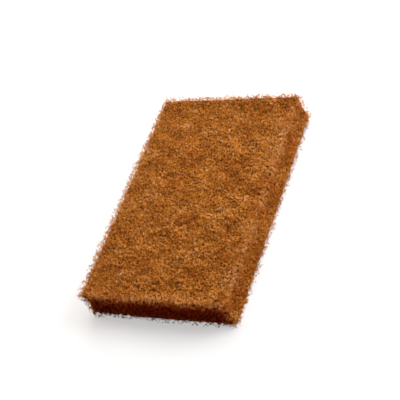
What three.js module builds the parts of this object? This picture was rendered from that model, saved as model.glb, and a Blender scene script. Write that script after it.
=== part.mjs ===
// A non-woven abrasive hand pad: a thick block cut from a lofty web of curly, resin-bonded nylon fibre.
//
// It is one piece, used in the bare hand or pressed under a hooked holder, with either face to the work.
// Units are millimetres. +X runs along the length, +Y across the width and +Z up through the thickness.
// The origin lies under the middle of the pad, on the surface that it rests on.
//
// A plain block is drawn in, point by point, to give the web what shows from a step away: soft corners
// and arrises, cut sides that are a little hollow between the two faces, and a relief of tufts with pits
// between them. The tufts end in the planes of the two faces, so that the pad lies flat on either, and the
// relief dies away towards the edges, which a knife has cut straight.

import * as THREE from "three";
import { mergeVertices } from "three/addons/utils/BufferGeometryUtils.js";

// Outer size, over the tops of the tufts
const padLength = 150;
const padWidth = 95;
const padThickness = 19;

// Edges: the round of the four upright corners in plan, and of the arris between a face and a cut side
const cornerRadius = 2.5;
const arrisRadius = 1.5;

// The knife squeezes the web as it cuts, and mid thickness springs back further than the two faces do
const cutSideHollow = 1;

// Relief: the distance between tufts, the depth of the pits, how far from an edge they reach that depth,
// and the level tuft in the middle of each face
const tuftPitch = 9;
const pitDepth = 1.3;
const edgeCalm = 7;
const levelRadius = 5;

// The relief's swing, which is about one at its widest, where a pit begins and where it is deepest
const pitStart = 0;
const pitFloor = 0.9;

// Plane waves that are summed to place the tufts, and how far their lengths spread around the pitch
const waveCount = 20;
const waveSpread = 0.25;

// Surface mesh: its cell over the faces and sides, and its cell in the rounded edges
const meshCell = 3;
const edgeCell = 1;

const webColour = "#a8682c";
const webRoughness = 0.85;

const goldenAngle = Math.PI * (3 - Math.sqrt(5));
const halfSize = new THREE.Vector3(padLength, padWidth, padThickness).multiplyScalar(0.5);

// The start of each of count even steps between two values
function evenSteps(from, to, count) {
  return Array.from({ length: count }, (_, step) => from + ((to - from) * step) / count);
}

// Grid lines from one side to the other: close together in the band of each rounded edge, even between them
function gridLines(half, band) {
  const evenEnd = half - band;
  const bandCount = Math.ceil(band / edgeCell);
  const evenCount = Math.ceil((2 * evenEnd) / meshCell);
  return [
    ...evenSteps(-half, -evenEnd, bandCount),
    ...evenSteps(-evenEnd, evenEnd, evenCount),
    ...evenSteps(evenEnd, half, bandCount),
    half,
  ];
}

// A box whose faces are divided at those grid lines
function griddedBox() {
  const planBand = Math.max(cornerRadius, arrisRadius);
  const lines = [
    gridLines(halfSize.x, planBand),
    gridLines(halfSize.y, planBand),
    gridLines(halfSize.z, arrisRadius),
  ];
  const [xCells, yCells, zCells] = lines.map((axisLines) => axisLines.length - 1);
  const box = new THREE.BoxGeometry(1, 1, 1, xCells, yCells, zCells);
  const points = box.getAttribute("position");
  for (let i = 0; i < points.count; i += 1) {
    for (let axis = 0; axis < 3; axis += 1) {
      const share = points.getComponent(i, axis) + 0.5;
      const line = Math.round(share * (lines[axis].length - 1));
      points.setComponent(i, axis, lines[axis][line]);
    }
  }
  box.deleteAttribute("normal");
  box.deleteAttribute("uv");
  return mergeVertices(box);
}

// How far a coordinate lies past a limit, counted outwards from the middle
const reachPast = (coordinate, limit) => Math.abs(coordinate) - limit;

// Turns a square corner into a round one. The two reaches are counted from where the rounding starts.
function roundCorner(a, b) {
  if (a <= 0 || b <= 0) return [a, b];
  const scale = Math.max(a, b) / Math.hypot(a, b);
  return [a * scale, b * scale];
}

// Rounds the four upright corners in plan
function roundInPlan(point) {
  const startX = halfSize.x - cornerRadius;
  const startY = halfSize.y - cornerRadius;
  const reachX = reachPast(point.x, startX);
  const reachY = reachPast(point.y, startY);
  const [x, y] = roundCorner(reachX, reachY);
  point.x += Math.sign(point.x) * (x - reachX);
  point.y += Math.sign(point.y) * (y - reachY);
}

// The nearest cut side: the level direction out through it, and how far in from it the point lies
function nearestSide(point) {
  const reachX = reachPast(point.x, halfSize.x - cornerRadius);
  const reachY = reachPast(point.y, halfSize.y - cornerRadius);
  const inCorner = reachX > 0 && reachY > 0;
  const outX = inCorner ? reachX : Number(reachX > reachY);
  const outY = inCorner ? reachY : Number(reachX <= reachY);
  const out = new THREE.Vector3(Math.sign(point.x) * outX, Math.sign(point.y) * outY, 0).normalize();
  const reach = inCorner ? Math.hypot(reachX, reachY) : Math.max(reachX, reachY);
  return { out, inset: cornerRadius - reach };
}

// Rounds the arris between a face and a cut side
function roundArris(point) {
  const { out, inset } = nearestSide(point);
  const sideReach = arrisRadius - inset;
  const faceReach = reachPast(point.z, halfSize.z - arrisRadius);
  const [side, face] = roundCorner(sideReach, faceReach);
  point.addScaledVector(out, side - sideReach);
  point.z += Math.sign(point.z) * (face - faceReach);
}

// Draws a cut side in: not at all at either arris, and most at mid thickness
function hollowSide(point) {
  const share = point.z / (halfSize.z - arrisRadius);
  if (Math.abs(share) < 1) {
    point.addScaledVector(nearestSide(point).out, -cutSideHollow * (1 - share * share));
  }
}

// Waves that cross the web from all around. Their directions follow a golden spiral over half a sphere,
// and the squares of their numbers, taken as angles, scatter their lengths and phases.
const waves = Array.from({ length: waveCount }, (_, index) => {
  const height = (index + 0.5) / waveCount;
  const ring = Math.sqrt(1 - height * height);
  const turn = goldenAngle * index;
  const scatter = index * index;
  const waveLength = tuftPitch * (1 + waveSpread * Math.cos(scatter));
  const direction = new THREE.Vector3(ring * Math.cos(turn), ring * Math.sin(turn), height);
  return { direction: direction.multiplyScalar((2 * Math.PI) / waveLength), phase: scatter };
});

// Swing of the relief at a point: positive in a pit, negative on a tuft
function reliefSwing(point) {
  const sum = waves.reduce((total, wave) => total + Math.cos(wave.direction.dot(point) + wave.phase), 0);
  return sum / Math.sqrt(waveCount / 2);
}

// How far a point of the surface lies from the nearest edge of the block. It lies in or near one of the
// sides, so the least of its distances in from them is next to nothing, and the second reaches the edge.
function edgeDistance(point) {
  const insets = ["x", "y", "z"].map((axis) => halfSize[axis] - Math.abs(point[axis]));
  return insets.sort((a, b) => a - b)[1];
}

// Share of the full relief at a point of the surface: none at an edge or in the level middle of a face
function reliefShare(point) {
  const offEdge = THREE.MathUtils.smoothstep(edgeDistance(point), 0, edgeCalm);
  const offLevel = THREE.MathUtils.smoothstep(Math.hypot(point.x, point.y), levelRadius, 2 * levelRadius);
  return offEdge * offLevel;
}

// Sinks a point that lies in a pit towards the core of the web. The core is a flat sheet at mid thickness,
// which ends half a thickness short of each cut side, so that pits near the edges slant inwards.
function sinkPit(point) {
  const coreX = halfSize.x - halfSize.z;
  const coreY = halfSize.y - halfSize.z;
  const x = THREE.MathUtils.clamp(point.x, -coreX, coreX);
  const y = THREE.MathUtils.clamp(point.y, -coreY, coreY);
  const core = new THREE.Vector3(x, y, 0);
  const pit = THREE.MathUtils.smoothstep(reliefSwing(point), pitStart, pitFloor);
  point.lerp(core, (pitDepth * pit * reliefShare(point)) / point.distanceTo(core));
}

function webGeometry() {
  const geometry = griddedBox();
  const points = geometry.getAttribute("position");
  const point = new THREE.Vector3();
  for (let i = 0; i < points.count; i += 1) {
    point.fromBufferAttribute(points, i);
    roundInPlan(point);
    roundArris(point);
    hollowSide(point);
    sinkPit(point);
    points.setXYZ(i, point.x, point.y, point.z);
  }
  geometry.computeVertexNormals();
  return geometry;
}

function handPad() {
  const web = new THREE.MeshStandardMaterial({ color: webColour, roughness: webRoughness, metalness: 0 });
  const pad = new THREE.Mesh(webGeometry(), web);
  pad.name = "hand_pad";
  pad.position.z = halfSize.z;
  return pad;
}

const part = new THREE.Group();
part.add(handPad());

export default part;
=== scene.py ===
# %% [markdown]
# # An abrasive hand pad of non-woven web
#
# The real pad is a block, cut with a knife from a thick and springy mat. The mat is made of curly nylon
# fibre that is laid down by air, glued with resin wherever two fibres cross, and coated with abrasive
# grain. From a step away it is one soft-edged brown block. From close to there is no surface at all,
# only crimped fibre, with light and dark pores between.
#
# So the pad is made as it is seen. A dense core gives the dark depth of the pores, and some twelve
# thousand fibres, each a real mesh, lie in and over it. A picture of fibre on a plain block would look
# flat from the side, and fibre alone, with no core, would need millions of faces before it stopped being
# see-through.
#
# This first cell loads the frame that everything is fitted to, and keeps the size of the solid model.

# %% Load the frame
import math

import bmesh
import bpy
from mathutils import Matrix, Vector


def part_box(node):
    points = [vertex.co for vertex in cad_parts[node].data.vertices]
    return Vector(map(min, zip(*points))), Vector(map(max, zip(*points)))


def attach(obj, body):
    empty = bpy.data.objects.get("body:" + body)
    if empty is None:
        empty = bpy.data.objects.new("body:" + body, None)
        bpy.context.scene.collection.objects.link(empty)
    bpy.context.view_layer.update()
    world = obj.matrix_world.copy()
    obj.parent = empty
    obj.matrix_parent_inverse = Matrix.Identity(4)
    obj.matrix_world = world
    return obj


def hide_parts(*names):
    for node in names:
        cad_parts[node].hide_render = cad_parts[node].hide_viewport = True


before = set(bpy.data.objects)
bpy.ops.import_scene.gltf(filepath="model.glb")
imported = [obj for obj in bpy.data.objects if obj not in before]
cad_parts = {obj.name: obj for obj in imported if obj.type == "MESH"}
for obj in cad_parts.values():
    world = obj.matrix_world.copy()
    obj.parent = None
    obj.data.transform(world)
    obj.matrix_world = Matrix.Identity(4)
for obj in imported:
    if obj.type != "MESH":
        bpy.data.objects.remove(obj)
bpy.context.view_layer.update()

MM = 0.001

pad_low, pad_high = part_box("hand_pad")
pad_size = pad_high - pad_low
pad_middle = (pad_low + pad_high) / 2
print("pad size in mm:", [round(side / MM, 1) for side in pad_size])

# %% [markdown]
# ## The camera
#
# The pad lies flat, as it would on a bench, and the camera looks down on it from beyond its near left
# corner. It is placed by the way it looks, not by a point in space: an azimuth round the pad, an
# elevation above the bench, a distance, and a roll about its own line of sight. Those four are what a
# photographer changes, so they are easy to adjust one at a time. A long lens from some way off keeps the
# far end of the pad nearly as wide as the near end.

# %% Place the camera
CAMERA_AZIMUTH = math.radians(-136.2)
CAMERA_ELEVATION = math.radians(44.0)
CAMERA_ROLL = math.radians(-32.6)
CAMERA_DISTANCE = 611 * MM
CAMERA_AIM = Vector((1.5, -0.8, 9.9)) * MM
CAMERA_LENS = 93.4
CAMERA_SENSOR = 36
NEAREST_SEEN = 10 * MM


def direction(azimuth, elevation):
    """The unit vector that points to an azimuth, counted from +X towards +Y, and an elevation."""
    level = math.cos(elevation)
    return Vector((level * math.cos(azimuth), level * math.sin(azimuth), math.sin(elevation)))


def turned_to(line_of_sight):
    """The rotation that makes a camera or a lamp, which look along -Z, look along this line."""
    return line_of_sight.to_track_quat("-Z", "Y").to_matrix().to_4x4()


def place_camera():
    """Aims the camera at the pad and rolls it about its line of sight."""
    data = bpy.data.cameras.new("camera")
    data.lens = CAMERA_LENS
    data.sensor_width = CAMERA_SENSOR
    data.clip_start = NEAREST_SEEN
    camera = bpy.data.objects.new("camera", data)
    back = direction(CAMERA_AZIMUTH, CAMERA_ELEVATION)
    place = Matrix.Translation(CAMERA_AIM + back * CAMERA_DISTANCE)
    camera.matrix_world = place @ turned_to(-back) @ Matrix.Rotation(CAMERA_ROLL, 4, "Z")
    bpy.context.collection.objects.link(camera)
    bpy.context.scene.camera = camera
    return camera


camera = place_camera()
print("camera at, in mm:", [round(axis / MM) for axis in camera.matrix_world.translation])

# %% [markdown]
# ## Node trees as expressions
#
# Materials and Geometry Nodes are both trees of nodes, and a long tree written link by link is hard to
# read. Here one small class wraps an output socket and overloads Python's operators, so that
# `0.5 + 2 * noise` adds the two Math nodes that it describes.

# %% Wrap a socket


class Field:
    """An output socket of a node tree, with Python's operators turned into Math nodes."""

    def __init__(self, tree, socket):
        self.tree = tree
        self.socket = socket

    def __add__(self, other):
        return self.tree.math("ADD", self, other)

    def __radd__(self, other):
        return self.tree.math("ADD", other, self)

    def __sub__(self, other):
        return self.tree.math("SUBTRACT", self, other)

    def __rsub__(self, other):
        return self.tree.math("SUBTRACT", other, self)

    def __mul__(self, other):
        return self.tree.math("MULTIPLY", self, other)

    def __rmul__(self, other):
        return self.tree.math("MULTIPLY", other, self)

    def __truediv__(self, other):
        return self.tree.math("DIVIDE", self, other)

    def __rtruediv__(self, other):
        return self.tree.math("DIVIDE", other, self)

    def __mod__(self, other):
        return self.tree.math("MODULO", self, other)

    def __neg__(self):
        return self.tree.math("MULTIPLY", self, -1)

    def __abs__(self):
        return self.tree.math("ABSOLUTE", self)

    def __gt__(self, other):
        return self.tree.math("GREATER_THAN", self, other)


print("operators:", [name for name in vars(Field) if callable(getattr(Field, name))][1:])

# %% [markdown]
# A second class holds the tree itself. Its `add` makes every other node from its type, its settings and
# the values or links of its inputs, so that no line has to name a link. The rest are the few nodes that
# the finishes and the fibres use again and again.

# %% Wrap a tree


class Tree:
    """A node tree that is built by calls, for a material or for Geometry Nodes."""

    def __init__(self, node_tree):
        self.node_tree = node_tree

    def add(self, kind, settings=None, inputs=None, outputs=0):
        """Adds a node of this type, sets it up, feeds its inputs and returns the outputs asked for."""
        node = self.node_tree.nodes.new(kind)
        for name, value in (settings or {}).items():
            setattr(node, name, value)
        for key, value in (inputs or {}).items():
            self.feed(self.find(node.inputs, key), value)
        if isinstance(outputs, tuple):
            return [Field(self, self.find(node.outputs, key)) for key in outputs]
        return Field(self, self.find(node.outputs, outputs)) if node.outputs else node

    def find(self, sockets, key):
        """The socket in use that has this name, or this place in the list."""
        in_use = [socket for socket in sockets if socket.enabled]
        return in_use[key] if isinstance(key, int) else next(s for s in in_use if s.name == key)

    def feed(self, socket, value):
        """Links a field to a socket, or sets the socket to a plain value."""
        if isinstance(value, Field):
            self.node_tree.links.new(value.socket, socket)
        elif socket.type == "VECTOR" and isinstance(value, (int, float)):
            socket.default_value = (value, value, value)
        else:
            socket.default_value = value

    def math(self, operation, *sides):
        """A Math node, or a Vector Math node where any side is a vector."""
        is_vector = any(isinstance(side, Field) and side.socket.type == "VECTOR" for side in sides)
        kind = "ShaderNodeVectorMath" if is_vector else "ShaderNodeMath"
        return self.add(kind, {"operation": operation}, dict(enumerate(sides)))

    def least(self, first, second):
        """The lesser of two values."""
        return self.math("MINIMUM", first, second)

    def most(self, first, second):
        """The greater of two values."""
        return self.math("MAXIMUM", first, second)

    def split(self, vector):
        """The three parts of a vector."""
        return self.add("ShaderNodeSeparateXYZ", None, {0: vector}, ("X", "Y", "Z"))

    def join(self, x, y, z=0.0):
        """A vector of three parts."""
        return self.add("ShaderNodeCombineXYZ", None, {"X": x, "Y": y, "Z": z})

    def smooth_step(self, value, start, end):
        """From 0 at start to 1 at end, with soft shoulders."""
        limits = {"Value": value, "From Min": start, "From Max": end}
        return self.add("ShaderNodeMapRange", {"interpolation_type": "SMOOTHSTEP"}, limits)

    def noise(self, place, size, seed=0, output="Fac", detail=2.0):
        """Cloudy noise whose features are about this size, with its own pattern for each seed."""
        inputs = {"Vector": place, "W": seed, "Scale": 1 / size, "Detail": detail}
        return self.add("ShaderNodeTexNoise", {"noise_dimensions": "4D"}, inputs, output)

    def drift(self, place, size, seed=0):
        """A vector of noise, each part of which swings between -1 and 1 at the widest."""
        colour = self.noise(place, size, seed, "Color", detail=1.0)
        return self.add("ShaderNodeVectorMath", {"operation": "MULTIPLY_ADD"}, {0: colour, 1: 2, 2: -1})


print("tree calls:", [name for name in vars(Tree) if not name.startswith("_")])

# %% [markdown]
# ## The colour of the web
#
# The brown is the resin's own, with grain in it. What the eye sees is mostly light and shade between the
# fibres, but the colour itself varies too: one fibre is more tan and the next more red than the rest,
# and the resin lies thicker in cloudy patches some millimetres across. Along the edges of the block,
# which light passes through, the colour is painted lighter and more orange than in the middle, as a
# painted glow that stands in for that light.
#
# The clouds and the edges are worked out from Object coordinates, so that one cloud runs on from piece
# to piece. A texture of its own for each piece would show where one ends.

# %% Set the colours
TAN = (0.69, 0.405, 0.19, 1)
OCHRE = (0.57, 0.228, 0.038, 1)
UMBER = (0.42, 0.088, 0.001, 1)

CLOUD_SIZE = 15 * MM
CLOUD_DETAIL = 4.0
CLOUD_RANGE = (0.38, 0.62)
EDGE_BAND = 7 * MM


def mix_colour(tree, share, first, second):
    """A colour between two others."""
    settings = {"data_type": "RGBA"}
    return tree.add("ShaderNodeMix", settings, {"Factor": share, "A": first, "B": second}, "Result")


def clouds(tree, place):
    """Patches of thick and thin resin, from 0 to 1."""
    return tree.smooth_step(tree.noise(place, CLOUD_SIZE, detail=CLOUD_DETAIL), *CLOUD_RANGE)


def edge_nearness(tree, place):
    """1 at an edge of the block and 0 from a band's width away.

    Of the three distances of a point from the sides of the block, the least tells which side it is
    near. The middle one is its distance from that side's edge.
    """
    half = pad_size / 2
    x, y, z = tree.split(place)
    inset_x = half.x - abs(x)
    inset_y = half.y - abs(y)
    inset_z = half.z - abs(z - half.z)
    middle = tree.most(tree.least(inset_x, inset_y), tree.least(tree.most(inset_x, inset_y), inset_z))
    return 1 - tree.smooth_step(middle, 0, EDGE_BAND)


print("fibre colours:", TAN[:3], OCHRE[:3], UMBER[:3])

# %% [markdown]
# The fibre's material adds up one tone from four shares: the fibre's own shade, which it carries as an
# attribute, the clouds, a painted glow at the edges, which stands in for light that passes through
# them, and fine grain. The tone then picks the colour, from umber through ochre to tan. One number that
# picks from three colours keeps the hue and the lightness together, as in real resin, where a plain mix
# of light and dark would look grey. Abrasive resin is dull, so the fibre has little gloss, and the grain
# roughens it with a slight bump.

# %% Make the fibre's material
SHADE = "fibre_shade"
SHADE_TONE = 0.6
CLOUD_TONE = 0.4
EDGE_GLOW_TONE = 0.28
GRAIN_TONE = 0.6
OCHRE_RANGE = (0.0, 0.5)
TAN_RANGE = (0.45, 1.0)

GRAIN_SIZE = 0.35 * MM
GRAIN_SEED = 5
GRAIN_HEIGHT = 0.05 * MM
GRAIN_BUMP = 0.4
FIBRE_ROUGHNESS = 0.45
ROUGHNESS_SPREAD = 0.3
FIBRE_SPECULAR = 0.12


def new_material(name):
    """An empty node material: the tree, its Principled shader and the object's coordinates."""
    material = bpy.data.materials.new(name)
    material.use_nodes = True
    tree = Tree(material.node_tree)
    shader = material.node_tree.nodes["Principled BSDF"]
    place = tree.add("ShaderNodeTexCoord", outputs="Object")
    return material, tree, shader, place


def fibre_material():
    """Fibre in its resin: a shade for each fibre, clouds over all of them, painted glow at the edges,
    and fine grain.
    """
    material, tree, shader, place = new_material("resin_fibre")
    shade = tree.add("ShaderNodeAttribute", {"attribute_name": SHADE}, outputs="Fac")
    grain = tree.noise(place, GRAIN_SIZE, GRAIN_SEED)
    swing = grain - 0.5
    # The clouds are the resin's own. The edge share is painted glow, for light that passes through the
    # edges.
    patch = clouds(tree, place) * CLOUD_TONE + edge_nearness(tree, place) * EDGE_GLOW_TONE
    tone = shade * SHADE_TONE + patch + swing * GRAIN_TONE
    dark = mix_colour(tree, tree.smooth_step(tone, *OCHRE_RANGE), UMBER, OCHRE)
    colour = mix_colour(tree, tree.smooth_step(tone, *TAN_RANGE), dark, TAN)
    tree.feed(shader.inputs["Base Color"], colour)
    tree.feed(shader.inputs["Roughness"], FIBRE_ROUGHNESS + swing * ROUGHNESS_SPREAD)
    shader.inputs["Specular IOR Level"].default_value = FIBRE_SPECULAR
    bump = {"Strength": GRAIN_BUMP, "Distance": GRAIN_HEIGHT, "Height": grain}
    tree.feed(shader.inputs["Normal"], tree.add("ShaderNodeBump", None, bump))
    return material


resin_fibre = fibre_material()
print("material:", resin_fibre.name)

# %% [markdown]
# The core is the part of the web that is too deep to model, so its material draws the tangle instead.
# The borders between the cells of a Voronoi pattern look much like threads that cross around pores, once
# noise has bent them. There are two such nets, a near one and a finer one behind it, which is painted
# darker as the shade of its depth. The pores are painted nearly black, as shade, because almost no light
# comes back out of them, and the gaps between the modelled fibres look deep only when what lies under
# them is this dark.

# %% Make the core's material
DEEP_THREAD = (0.70, 0.25, 0.034, 1)
# The pores' colour is painted shade: almost no light comes back out of them.
PORE_SHADE = (0.055, 0.007, 0.0001, 1)
NET_SIZE = 1.6 * MM
FAR_NET_SIZE = 0.7 * NET_SIZE
FAR_NET_SHADE = 0.6
NET_BEND = 0.7 * MM
NET_SHARE = 0.13
NET_RELIEF = 0.3 * MM
NET_BUMP = 0.8

THREAD_TONE = 0.65
THREAD_CLOUD_TONE = 0.25
THREAD_EDGE_GLOW_TONE = 0.3
PORE_ROUGHNESS = 0.9
THREAD_SHEEN = 0.2
CORE_SPECULAR = 0.02


def thread_net(tree, place, size):
    """A net of bent threads, 1 on a thread and 0 in a pore."""
    bent = place + tree.drift(place, size) * NET_BEND
    inputs = {"Vector": bent, "Scale": 1 / size}
    border = tree.add("ShaderNodeTexVoronoi", {"feature": "DISTANCE_TO_EDGE"}, inputs)
    return 1 - tree.smooth_step(border, 0.0, NET_SHARE)


def core_material():
    """The depth of the web: two nets of threads, the one behind in painted shade, over pores painted
    dark as shade.
    """
    material, tree, shader, place = new_material("deep_web")
    near_net = thread_net(tree, place, NET_SIZE)
    far_net = thread_net(tree, place, FAR_NET_SIZE)
    # The far net is dimmed as painted shade of its depth.
    net = tree.most(near_net, far_net * FAR_NET_SHADE)
    # The edge share is painted glow on the threads, for light that passes through the edges.
    patch = clouds(tree, place) * THREAD_CLOUD_TONE + edge_nearness(tree, place) * THREAD_EDGE_GLOW_TONE
    colour = mix_colour(tree, net * (THREAD_TONE + patch), PORE_SHADE, DEEP_THREAD)
    tree.feed(shader.inputs["Base Color"], colour)
    tree.feed(shader.inputs["Roughness"], PORE_ROUGHNESS - net * THREAD_SHEEN)
    shader.inputs["Specular IOR Level"].default_value = CORE_SPECULAR
    bump = {"Strength": NET_BUMP, "Distance": NET_RELIEF, "Height": net}
    tree.feed(shader.inputs["Normal"], tree.add("ShaderNodeBump", None, bump))
    return material


deep_web = core_material()
print("material:", deep_web.name)

# %% [markdown]
# ## The core of the web
#
# The core keeps the form of the solid model: its soft arrises, hollow cut sides, tufts and pits. On it
# lies what is too fine for the solid. The web is full of holes about as wide as a curl of fibre, so
# Geometry Nodes sink the skin by noise into hollows of that size. They also sink all of it a little,
# which leaves room for the fibres in the pad's outer skin.
#
# A knife leaves no sharp edge on a springy web. The fibre draws in at the upper edges, and at the bench
# the pad's weight presses it out instead, so the edges are moved by their height. A bevel would round
# both alike.

# %% Write the tree of the core
CORE_LEVELS = 2
CORE_SINK = 0.2 * MM
CORE_ROUND = 0.7 * MM
BENCH_PRESS = 0.5
LUMP_SIZE = 1.5 * MM
LUMP_DEPTH = 1.0 * MM
LUMP_RANGE = (0.4, 0.66)
LUMP_SEED = 3
REST_GAP = 0.05 * MM


def new_geometry_tree(name):
    """A Geometry Nodes tree with one geometry in and one out, and the field of what comes in."""
    group = bpy.data.node_groups.new(name, "GeometryNodeTree")
    group.interface.new_socket("Geometry", in_out="INPUT", socket_type="NodeSocketGeometry")
    group.interface.new_socket("Geometry", in_out="OUTPUT", socket_type="NodeSocketGeometry")
    tree = Tree(group)
    return tree, tree.add("NodeGroupInput", outputs="Geometry")


def new_input(tree, name, kind="NodeSocketFloat"):
    """Adds a named input to a tree and returns its field."""
    tree.node_tree.interface.new_socket(name, in_out="INPUT", socket_type=kind)
    return tree.add("NodeGroupInput", outputs=name)


def finish_tree(tree, geometry, material):
    """Ends a tree in a smooth realized mesh that wears its material."""
    real = tree.add("GeometryNodeRealizeInstances", None, {"Geometry": geometry})
    smooth = tree.add("GeometryNodeSetShadeSmooth", None, {"Geometry": real})
    dressed = tree.add("GeometryNodeSetMaterial", None, {"Geometry": smooth, "Material": material})
    tree.add("NodeGroupOutput", None, {0: dressed})


def edge_draw(tree, place):
    """How far the web draws in at an edge: 1 at an upper one, and under 0 where it is pressed out."""
    nearness = edge_nearness(tree, place)
    _, _, z = tree.split(place)
    return nearness * nearness * (z / pad_size.z * (1 + BENCH_PRESS) - BENCH_PRESS)


def core_tree():
    """Smooths the block and sinks it under the fibres, further in some places than in others."""
    tree, block = new_geometry_tree("core_of_web")
    sink = new_input(tree, "Sink")
    lump_size = new_input(tree, "Lump size")
    lump_depth = new_input(tree, "Lump depth")
    edge_round = new_input(tree, "Edge round")
    smooth = tree.add("GeometryNodeSubdivisionSurface", None, {"Mesh": block, "Level": CORE_LEVELS})
    place = tree.add("GeometryNodeInputPosition")
    normal = tree.add("GeometryNodeInputNormal")
    hollow = tree.smooth_step(tree.noise(place, lump_size, LUMP_SEED), *LUMP_RANGE)
    inward = sink + hollow * lump_depth + edge_round * edge_draw(tree, place)
    x, y, z = tree.split(place - normal * inward)
    inputs = {"Geometry": smooth, "Position": tree.join(x, y, tree.most(z, REST_GAP))}
    sunk = tree.add("GeometryNodeSetPosition", None, inputs)
    finish_tree(tree, sunk, deep_web)
    return tree


core_of_web = core_tree()
print("core tree:", len(core_of_web.node_tree.nodes), "nodes")

# %% [markdown]
# The core starts from a copy of the solid's own mesh, so its form can't drift away from the model's. The
# copy's loose triangles are merged and paired into quads first, because a subdivision surface rounds
# quads evenly and puckers where triangles meet. The tree then runs as a modifier on a source object, and
# only its result is kept, as a plain mesh.

# %% Make the core


def merged_copy(node):
    """One closed mesh of a node of the solid model, in quads where its triangles pair up."""
    mesh = bpy.data.meshes.new(node)
    work = bmesh.new()
    work.from_mesh(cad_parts[node].data)
    bmesh.ops.remove_doubles(work, verts=work.verts, dist=0.001 * MM)
    bmesh.ops.join_triangles(
        work, faces=work.faces, angle_face_threshold=math.pi, angle_shape_threshold=math.pi
    )
    work.to_mesh(mesh)
    work.free()
    return mesh


def new_object(name, mesh):
    """Links a mesh to the scene as an object at the origin."""
    made = bpy.data.objects.new(name, mesh)
    bpy.context.collection.objects.link(made)
    return made


def grown(name, mesh, tree, values):
    """Runs a tree on a mesh and returns what it makes as an object with a plain mesh."""
    source = new_object(name + "_source", mesh)
    modifier = source.modifiers.new(name, "NODES")
    modifier.node_group = tree.node_tree
    for item in tree.node_tree.interface.items_tree:
        if item.name in values:
            modifier[item.identifier] = values[item.name]
    shown = source.evaluated_get(bpy.context.evaluated_depsgraph_get())
    result = new_object(name, bpy.data.meshes.new_from_object(shown))
    result.data.name = name
    bpy.data.objects.remove(source)
    return result


def triangle_count(piece):
    """How many triangles a piece's mesh comes to."""
    return sum(len(face.vertices) - 2 for face in piece.data.polygons)


block_mesh = merged_copy("hand_pad")
core_values = {
    "Sink": CORE_SINK,
    "Lump size": LUMP_SIZE,
    "Lump depth": LUMP_DEPTH,
    "Edge round": CORE_ROUND,
}
web_core = grown("web_core", block_mesh.copy(), core_of_web, core_values)
print("web_core:", triangle_count(web_core), "triangles")

# %% [markdown]
# A piece's finish can be drawn into a picture, and that needs to know where every face lies in it.
# That is the piece's map. The core's is a flat layout of the block's six sides, all at one scale. The
# sides are nearly flat, so each is simply looked at straight on, and little in the map is stretched.

# %% Lay the core's sides out flat
MAP = "OFBake"
MAP_GAP = 3 * MM


def box_layout():
    """For each way that a face can look: the two axes it is drawn along, and where its sheet starts."""
    length, width, height = pad_size
    column = length + MAP_GAP
    row = width + MAP_GAP
    last_row = 2 * row + height + MAP_GAP
    return {
        (2, 1): (0, 1, 0, 0),
        (2, -1): (0, 1, 0, row),
        (1, 1): (0, 2, 0, 2 * row),
        (1, -1): (0, 2, 0, last_row),
        (0, 1): (2, 1, column, 0),
        (0, -1): (2, 1, column, row),
    }


def lay_out(piece):
    """Writes the flat layout into the piece's map."""
    sheets = box_layout()
    whole = 2 * (pad_size.y + pad_size.z + 2 * MAP_GAP)
    mesh = piece.data
    layer = mesh.uv_layers.new(name=MAP)
    for face in mesh.polygons:
        axis = max(range(3), key=lambda index: abs(face.normal[index]))
        across, up, start_u, start_v = sheets[axis, 1 if face.normal[axis] > 0 else -1]
        for corner in face.loop_indices:
            inside = mesh.vertices[mesh.loops[corner].vertex_index].co - pad_low
            u, v = start_u + inside[across], start_v + inside[up]
            layer.uv[corner].vector = (u / whole, v / whole)


lay_out(web_core)
print("map of the core:", web_core.data.uv_layers.active.name)

# %% [markdown]
# ## The fibres
#
# Each fibre of the web is a few centimetres of crimped nylon, but no more shows of it than a curl or two
# before it dives under its neighbours. So a fibre here is one curl and a bit. Modelled at full length it
# would cost ten times the faces, and most of them would lie out of sight.
#
# Below are the sizes of a fibre. Each is a named input of the tree, so that one tree grows every layer
# of the web. Length, crimp, radius, height, stub and shade are then varied for every fibre by throws of
# its own. The throws go by the fibre's number, so they fall the same way each time.

# %% Name the sizes of a fibre
FIBRE_STEPS = 10
FIBRE_SIDES = 3
FIBRE_TRIANGLES = 2 * FIBRE_SIDES * FIBRE_STEPS + 2 * (FIBRE_SIDES - 2)
TURN = 2 * math.pi

FIBRE = {
    "Length": 1.5 * MM,
    "Crimp pitch": 1.15 * MM,
    "Crimp radius": 0.5 * MM,
    "Bend": 0.5 * MM,
    "Highest": 0.4 * MM,
    "Deepest": 0.9 * MM,
    "Radius": 0.17 * MM,
    "Edge extra": 1.0,
    "Edge round": 0.5 * MM,
    "Edge lift": 0.8 * MM,
    "Stub": 3.0 * MM,
    "Last shade": 1.0,
}


class Dice:
    """Random numbers that belong to a fibre, through its number. Each throw is a new one."""

    THROWS_IN_A_STEP = 100

    def __init__(self, tree, number, step):
        self.tree = tree
        self.number = number
        self.thrown = step * self.THROWS_IN_A_STEP

    def throw(self, low, high, kind="FLOAT"):
        """A number, or a vector, between two limits."""
        self.thrown += 1
        inputs = {"Min": low, "Max": high, "ID": self.number, "Seed": self.thrown}
        return self.tree.add("FunctionNodeRandomValue", {"data_type": kind}, inputs)


def keep(tree, geometry, name, kind, value, domain="POINT"):
    """Keeps a value on a geometry, under a name."""
    settings = {"data_type": kind, "domain": domain}
    inputs = {"Geometry": geometry, "Name": name, "Value": value}
    return tree.add("GeometryNodeStoreNamedAttribute", settings, inputs)


def kept(tree, name, kind):
    """The value that was kept under a name."""
    return tree.add("GeometryNodeInputNamedAttribute", {"data_type": kind}, {"Name": name})


print("triangles in a fibre:", FIBRE_TRIANGLES)

# %% [markdown]
# The tree first scatters points over a patch of the block's skin. It lifts or sinks each one, turns it
# any way, and sets a straight line of vertices on it. Towards an edge the points stand closer and reach
# higher, because there a web has nothing beside it to hold its loose ends down.

# %% Scatter the fibres and draw their lines


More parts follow.
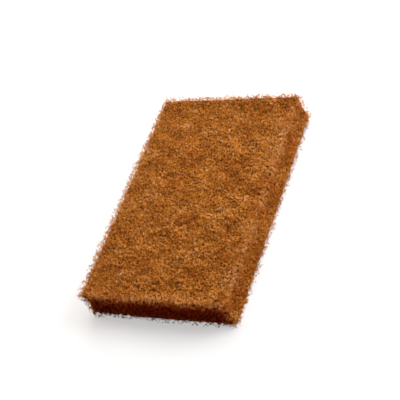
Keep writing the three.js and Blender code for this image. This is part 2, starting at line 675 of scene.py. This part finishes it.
def scatter(tree, skin, given, density, seed):
    """A point for the middle of each fibre, which keeps its number, its place and how it is turned."""
    place = tree.add("GeometryNodeInputPosition")
    nearness = edge_nearness(tree, place)
    local_density = density * (1 + nearness * nearness * given["Edge extra"])
    inputs = {"Mesh": skin, "Density": local_density, "Seed": seed}
    points, normal = tree.add("GeometryNodeDistributePointsOnFaces", None, inputs, ("Points", "Normal"))
    number = tree.add("GeometryNodeInputIndex")
    dice = Dice(tree, number, step=1)
    height = dice.throw(-given["Deepest"], given["Highest"] + nearness * given["Edge lift"])
    height = height - edge_draw(tree, place) * given["Edge round"]
    turned = tree.add("FunctionNodeEulerToRotation", None, {0: dice.throw(0, TURN, "FLOAT_VECTOR")})
    points = keep(tree, points, "middle", "FLOAT_VECTOR", place + normal * height)
    points = keep(tree, points, "turned", "QUATERNION", turned)
    return keep(tree, points, "fibre", "INT", number)


def draw_lines(tree, points):
    """A line of vertices on every point. Each vertex keeps how far along the fibre it is."""
    line = tree.add("GeometryNodeMeshLine", None, {"Count": FIBRE_STEPS + 1, "Offset": (0, 0, 0)})
    along = tree.add("GeometryNodeInputIndex") / FIBRE_STEPS
    line = keep(tree, line, "along", "FLOAT", along)
    lines = tree.add("GeometryNodeInstanceOnPoints", None, {"Points": points, "Instance": line})
    return tree.add("GeometryNodeRealizeInstances", None, {"Geometry": lines})


print("a fibre has", FIBRE_STEPS + 1, "vertices along its line")

# %% [markdown]
# Every vertex is then moved to its place by a formula: along the fibre, round a helix for the crimp, and
# off by noise, because no real curl is a true helix. A curve drawn by hand and copied would be quicker
# to write, but the eye soon finds two of the same.
#
# A fibre that touches the bench is pressed flat on it by the pad's weight, so no vertex goes lower than
# the fibre's own radius. At the cut sides the knife has taken what reached out too far. It leaves stubs
# of uneven length, because the web is pressed together while it is cut.

# %% Crimp and trim the lines
LENGTH_SPREAD = (0.6, 1.3)
PITCH_SPREAD = (0.7, 1.5)
CRIMP_SPREAD = (0.5, 1.3)
STUB_SPREAD = (0.1, 1)
BEND_SIZE = 3 * MM


def crimp(tree, lines, given):
    """Moves every vertex to its place on a bent helix about the fibre's own middle."""
    number = kept(tree, "fibre", "INT")
    along = kept(tree, "along", "FLOAT")
    middle = kept(tree, "middle", "FLOAT_VECTOR")
    dice = Dice(tree, number, step=2)
    length = given["Length"] * dice.throw(*LENGTH_SPREAD)
    pitch = given["Crimp pitch"] * dice.throw(*PITCH_SPREAD)
    radius = given["Crimp radius"] * dice.throw(*CRIMP_SPREAD)
    phase = (length / pitch * along + dice.throw(0, 1)) * TURN
    helix = tree.join(
        (along - 0.5) * length, tree.math("COSINE", phase) * radius, tree.math("SINE", phase) * radius
    )
    bent = helix + tree.drift(helix + middle, BEND_SIZE, number) * given["Bend"]
    turned = kept(tree, "turned", "QUATERNION")
    outward = tree.add("FunctionNodeRotateVector", None, {"Vector": bent, "Rotation": turned})
    x, y, z = tree.split(middle + outward)
    place = tree.join(x, y, tree.most(z, given["Radius"] + REST_GAP))
    return tree.add("GeometryNodeSetPosition", None, {"Geometry": lines, "Position": place})


def trim(tree, lines, given):
    """Cuts off what reaches past a cut side by more than the fibre's own stub."""
    place = tree.add("GeometryNodeInputPosition")
    x, y, _ = tree.split(place)
    past = tree.most(abs(x) - pad_size.x / 2, abs(y) - pad_size.y / 2)
    dice = Dice(tree, kept(tree, "fibre", "INT"), step=3)
    stub = given["Stub"] * dice.throw(*STUB_SPREAD)
    inputs = {"Geometry": lines, "Selection": past > stub}
    return tree.add("GeometryNodeDeleteGeometry", {"domain": "POINT"}, inputs)


print("lowest point of a fibre in mm:", round(REST_GAP / MM, 3))

# %% [markdown]
# A three-sided tube is drawn along each line. Three sides are enough for a thread that covers less than
# a pixel, and they leave room for more than twice as many fibres as tubes of eight sides would. In the
# map every fibre has a cell of its own, with its length across the cell and its girth up it. The middle
# vertex of each ring leans over a little, so that the tube's flat ends have some room in the map too.

# %% Make tubes of the lines
RADIUS_SPREAD = (0.75, 1.2)
CELL_FILL = 0.85
CELL_LEAN = 0.08


def thicken(tree, lines, given):
    """A tube along each line, in the shade of its own fibre."""
    dice = Dice(tree, kept(tree, "fibre", "INT"), step=4)
    lines = keep(tree, lines, SHADE, "FLOAT", dice.throw(0, given["Last shade"]))
    curves = tree.add("GeometryNodeMeshToCurve", None, {"Mesh": lines})
    ring = {"Resolution": FIBRE_SIDES, "Radius": 1.0}
    inputs = {
        "Curve": curves,
        "Profile Curve": tree.add("GeometryNodeCurvePrimitiveCircle", None, ring),
        "Scale": given["Radius"] * dice.throw(*RADIUS_SPREAD),
        "Fill Caps": True,
    }
    return tree.add("GeometryNodeCurveToMesh", None, inputs)


def map_cells(tree, tubes, points):
    """Gives each fibre a cell of the map, in rows that fill the square."""
    count = tree.add("GeometryNodeAttributeDomainSize", {"component": "POINTCLOUD"}, {0: points})
    columns = tree.math("CEIL", tree.math("SQRT", count))
    vertex = tree.add("GeometryNodeFieldOnDomain", None, {0: tree.add("GeometryNodeInputIndex")})
    ring_place = vertex % FIBRE_SIDES
    lean = tree.math("COMPARE", ring_place, 1) * CELL_LEAN
    across = kept(tree, "along", "FLOAT") * (1 - CELL_LEAN) + lean
    number = kept(tree, "fibre", "INT")
    u = (number % columns + across * CELL_FILL) / columns
    v = (tree.math("FLOOR", number / columns) + ring_place / (FIBRE_SIDES - 1) * CELL_FILL) / columns
    return keep(tree, tubes, MAP, "FLOAT2", tree.join(u, v), "CORNER")


def fibre_tree():
    """Crimped fibres in and over a skin, trimmed at the cut sides of the pad."""
    tree, skin = new_geometry_tree("crimped_fibre")
    density = new_input(tree, "Density")
    seed = new_input(tree, "Seed", "NodeSocketInt")
    given = {name: new_input(tree, name) for name in FIBRE}
    points = scatter(tree, skin, given, density, seed)
    lines = trim(tree, crimp(tree, draw_lines(tree, points), given), given)
    tubes = map_cells(tree, thicken(tree, lines, given), points)
    for name in ("middle", "turned", "fibre", "along"):
        tubes = tree.add("GeometryNodeRemoveAttribute", None, {"Geometry": tubes, "Name": name})
    finish_tree(tree, tubes, resin_fibre)
    return tree


crimped_fibre = fibre_tree()
print("fibre tree:", len(crimped_fibre.node_tree.nodes), "nodes")

# %% [markdown]
# The faces and the cut sides are grown as pieces of their own. The outer layer catches the light. The
# inner one is thin and lies deeper, and breaks up the core where it shows through the gaps. The face
# that the pad lies on has one layer.
#
# Last come small loose curls, shorter and finer than the rest. A few stand all over the pad, and most
# crowd at its edges, the lower ones too. They make the outline fade out over a few millimetres, as the
# real web's does. They take the darker shades, because a pale curl would vanish before a white
# background and leave a crisp edge. Long straight hairs were the other choice, but a web that is glued
# at every crossing has none.

# %% Grow the fibres
DEEP_FIBRE = {**FIBRE, "Highest": -0.6 * MM, "Deepest": 1.9 * MM, "Radius": 0.2 * MM}
LOOSE_CURL = {
    **FIBRE,
    "Length": 1.2 * MM,
    "Crimp pitch": 1.0 * MM,
    "Crimp radius": 0.4 * MM,
    "Highest": 0.7 * MM,
    "Deepest": 0.0,
    "Radius": 0.15 * MM,
    "Edge extra": 14.0,
    "Edge lift": 1.8 * MM,
    "Last shade": -0.2,
}
LEAST_UPRIGHT = 0.6


def is_upper(normal):
    """Whether a face of the skin belongs to the upper face of the pad."""
    return normal.z > LEAST_UPRIGHT


def is_under(normal):
    """Whether a face of the skin belongs to the face that the pad lies on."""
    return normal.z < -LEAST_UPRIGHT


def is_side(normal):
    """Whether a face of the skin belongs to a cut side."""
    return abs(normal.z) <= LEAST_UPRIGHT


def skin_patch(name, belongs):
    """The part of the block's skin whose faces pass a test on their normal, and its area."""
    mesh = bpy.data.meshes.new(name)
    work = bmesh.new()
    work.from_mesh(block_mesh)
    work.normal_update()
    others = [face for face in work.faces if not belongs(face.normal)]
    bmesh.ops.delete(work, geom=others, context="FACES")
    area = sum(face.calc_area() for face in work.faces)
    work.to_mesh(mesh)
    work.free()
    return mesh, area


def fibre_piece(name, belongs, sizes, triangles, seed):
    """Grows one piece of fibre on a patch of skin.

    The triangles asked for are spread evenly. What the sizes add at the edges comes on top.
    """
    mesh, area = skin_patch(name + "_skin", belongs)
    values = {**sizes, "Density": triangles / FIBRE_TRIANGLES / area, "Seed": seed}
    piece = grown(name, mesh, crimped_fibre, values)
    print(name + ":", triangle_count(piece), "triangles on", round(area / MM**2), "square mm")
    return piece


fibre_pieces = [
    fibre_piece("upper_face_outer", is_upper, FIBRE, 165_000, 11),
    fibre_piece("upper_face_inner", is_upper, DEEP_FIBRE, 20_000, 12),
    fibre_piece("cut_side_outer", is_side, FIBRE, 75_000, 13),
    fibre_piece("cut_side_inner", is_side, DEEP_FIBRE, 20_000, 14),
    fibre_piece("under_face_fibre", is_under, FIBRE, 70_000, 15),
    fibre_piece("loose_curl_of_face", is_upper, LOOSE_CURL, 50_000, 16),
    fibre_piece("loose_curl_of_side", is_side, LOOSE_CURL, 40_000, 17),
    fibre_piece("loose_curl_of_under_face", is_under, LOOSE_CURL, 24_000, 18),
]

# %% [markdown]
# ## The light
#
# The pad is seen in soft light that comes mostly from beyond its far end and above, so that the face
# glows, the long side falls off a little, and the near end is in deep shade. One large softbox does
# that, and a small one fills the long side. Two low lamps at the left and beyond the far end graze the
# loose curls at those edges, so that they glow a little against the white, as fibre does that light
# passes through.
#
# The near end gets only what has come through the web, which is a deep red. A weak red lamp stands in
# for it, because light that really passed from fibre to fibre would need many bounces and a long render.

# %% Light the pad
LAMP_DISTANCE = 900 * MM
LARGE_LAMP = 1200 * MM
SMALL_LAMP = 500 * MM
WHITE = (1, 1, 1)
RIM_COLOUR = (1.0, 0.9, 0.76)
END_COLOUR = (1.0, 0.13, 0.006)
AMBIENT = 0.006


def softbox(name, azimuth, elevation, power, size=SMALL_LAMP, colour=WHITE):
    """A square area lamp, turned to the pad. Its place is given in degrees and its power in watts."""
    data = bpy.data.lights.new(name, "AREA")
    data.color = colour
    data.energy = power
    data.size = size
    lamp = bpy.data.objects.new(name, data)
    away = direction(math.radians(azimuth), math.radians(elevation))
    lamp.matrix_world = Matrix.Translation(pad_middle + away * LAMP_DISTANCE) @ turned_to(-away)
    bpy.context.collection.objects.link(lamp)


def seen_directly(tree):
    """1 for what the camera sees, straight or by a reflection or through glass, and 0 for lighting."""
    rays = ("Is Camera Ray", "Is Glossy Ray", "Is Transmission Ray")
    camera_ray, glossy_ray, through_ray = tree.add("ShaderNodeLightPath", None, None, rays)
    return tree.most(tree.most(camera_ray, glossy_ray), through_ray)


def white_world():
    """White where it is seen, and a weak even light otherwise."""
    world = bpy.data.worlds.new("studio")
    world.use_nodes = True
    tree = Tree(world.node_tree)
    shader = world.node_tree.nodes["Background"]
    shader.inputs["Color"].default_value = (*WHITE, 1)
    tree.feed(shader.inputs["Strength"], AMBIENT + seen_directly(tree) * (1 - AMBIENT))
    bpy.context.scene.world = world


softbox("far_softbox", azimuth=-4, elevation=48, power=13.2, size=LARGE_LAMP)
softbox("side_fill", azimuth=-68, elevation=32, power=9.0)
softbox("left_rim", azimuth=80, elevation=9, power=9.0, colour=RIM_COLOUR)
softbox("far_rim", azimuth=10, elevation=9, power=7.0, colour=RIM_COLOUR)
softbox("end_glow", azimuth=180, elevation=6, power=0.9, colour=END_COLOUR)
white_world()
bpy.context.scene.view_settings.view_transform = "Standard"

# %% [markdown]
# ## The floor
#
# The floor is white to the camera and keeps the pad's shadow. Near the pad it is half white paper, which
# takes the shadow, and half glow, which keeps it light. Further out the glow takes over, so that the
# floor meets the white world with no grey band at the horizon. What the pad receives back from the floor
# is a dark red-brown, because a white floor would light up the near end and take its depth away.

# %% Lay the floor
FLOOR_HALF = 3000 * MM
FLOOR_BOUNCE = (0.32, 0.065, 0.006, 1)
FLOOR_PAPER = (0.9, 0.9, 0.9, 1)
GLOW_SHARE = 0.5
SHADOW_REACH = (120 * MM, 450 * MM)


def floor_material():
    """White with the pad's shadow where it is seen, and red-brown for the light that it gives back."""
    material = bpy.data.materials.new("floor")
    material.use_nodes = True
    tree = Tree(material.node_tree)
    material.node_tree.nodes.clear()
    bounce = tree.add("ShaderNodeBsdfDiffuse", None, {"Color": FLOOR_BOUNCE})
    paper = tree.add("ShaderNodeBsdfDiffuse", None, {"Color": FLOOR_PAPER})
    glow = tree.add("ShaderNodeEmission", None, {"Color": (*WHITE, 1), "Strength": 1.0})
    away = tree.math("LENGTH", tree.add("ShaderNodeTexCoord", outputs="Object"))
    glow_share = GLOW_SHARE + tree.smooth_step(away, *SHADOW_REACH) * (1 - GLOW_SHARE)
    seen = tree.add("ShaderNodeMixShader", None, {0: glow_share, 1: paper, 2: glow})
    both = tree.add("ShaderNodeMixShader", None, {0: seen_directly(tree), 1: bounce, 2: seen})
    tree.add("ShaderNodeOutputMaterial", None, {"Surface": both})
    return material


def lay_floor():
    """A wide flat floor under the pad."""
    corners = [(x * FLOOR_HALF, y * FLOOR_HALF, 0) for x, y in ((-1, -1), (1, -1), (1, 1), (-1, 1))]
    mesh = bpy.data.meshes.new("floor")
    mesh.from_pydata(corners, [], [(0, 1, 2, 3)])
    mesh.materials.append(floor_material())
    new_object("floor", mesh)


lay_floor()
print("floor:", round(2 * FLOOR_HALF), "m square")

# %% [markdown]
# ## Hand the pieces over
#
# The pad is one rigid body, so every piece rides on its root. The core takes the place of the plain
# solid, and the fibres are its finish.

# %% Hand the pieces over
for piece in [web_core, *fibre_pieces]:
    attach(piece, "root")
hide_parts("hand_pad")

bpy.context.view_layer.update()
print("triangles in all:", sum(triangle_count(piece) for piece in [web_core, *fibre_pieces]))
